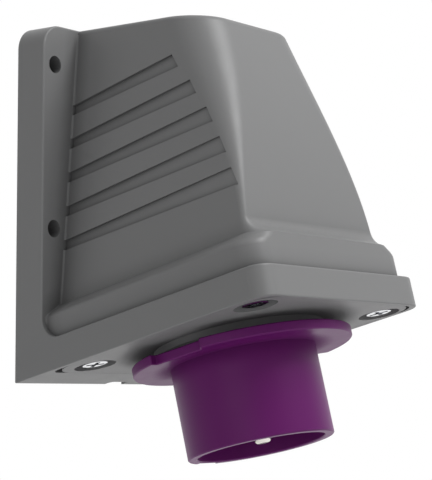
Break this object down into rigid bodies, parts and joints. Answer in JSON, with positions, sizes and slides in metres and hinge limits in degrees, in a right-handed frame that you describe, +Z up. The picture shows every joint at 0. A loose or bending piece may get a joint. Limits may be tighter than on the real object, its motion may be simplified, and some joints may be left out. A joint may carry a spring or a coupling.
{
  "type": "angled wall inlet",
  "caption": "Surface-mounted angled wall inlet for extra-low voltage: a grey hood with slanted grooves, and a purple shrouded pin inlet in its tilted underside.",
  "frame": {"origin": "centre of the four fixing holes, on the back face of the wall plate", "axes": "+X to the right facing the wall, +Y into the wall, +Z up; the inlet's axis points down and away from the wall, 14.2 degrees from -Z towards -Y"},
  "size_m": [0.0924, 0.1052, 0.15],
  "materials": {
    "grey_housing": "moulded, fine satin grain",
    "grey_cover": "moulded, semi-gloss",
    "purple_shroud": "moulded, semi-gloss",
    "purple_carrier": "moulded, satin",
    "grey_nut": "moulded",
    "seal_rubber": "soft, matt",
    "entry_rubber": "soft, matt",
    "contact_metal": "nickel plated, turned",
    "zinc_screw": "zinc plated",
    "brass_insert": "turned"
  },
  "bodies": {
    "root": {"housing": "grey_housing", "cover_plate": "grey_cover", "cover_seal": "seal_rubber", "joint_seal": "seal_rubber", "cable_entry": "entry_rubber", "inlet_body": "purple_shroud", "lock_ring": "grey_nut", "contact_carrier": "purple_carrier", "pin_retainer": "grey_nut", "contact_pin_1": "contact_metal", "contact_pin_2": "contact_metal", "contact_pin_3": "contact_metal", "clamp_screw_1": "zinc_screw", "clamp_screw_2": "zinc_screw", "clamp_screw_3": "zinc_screw", "carrier_screws": "zinc_screw", "retainer_screws": "zinc_screw", "cover_screw_1": "zinc_screw", "screw_insert_1": "brass_insert", "cover_screw_2": "zinc_screw", "screw_insert_2": "brass_insert", "cover_screw_3": "zinc_screw", "screw_insert_3": "brass_insert", "cover_screw_4": "zinc_screw", "screw_insert_4": "brass_insert"}
  },
  "joints": []
}
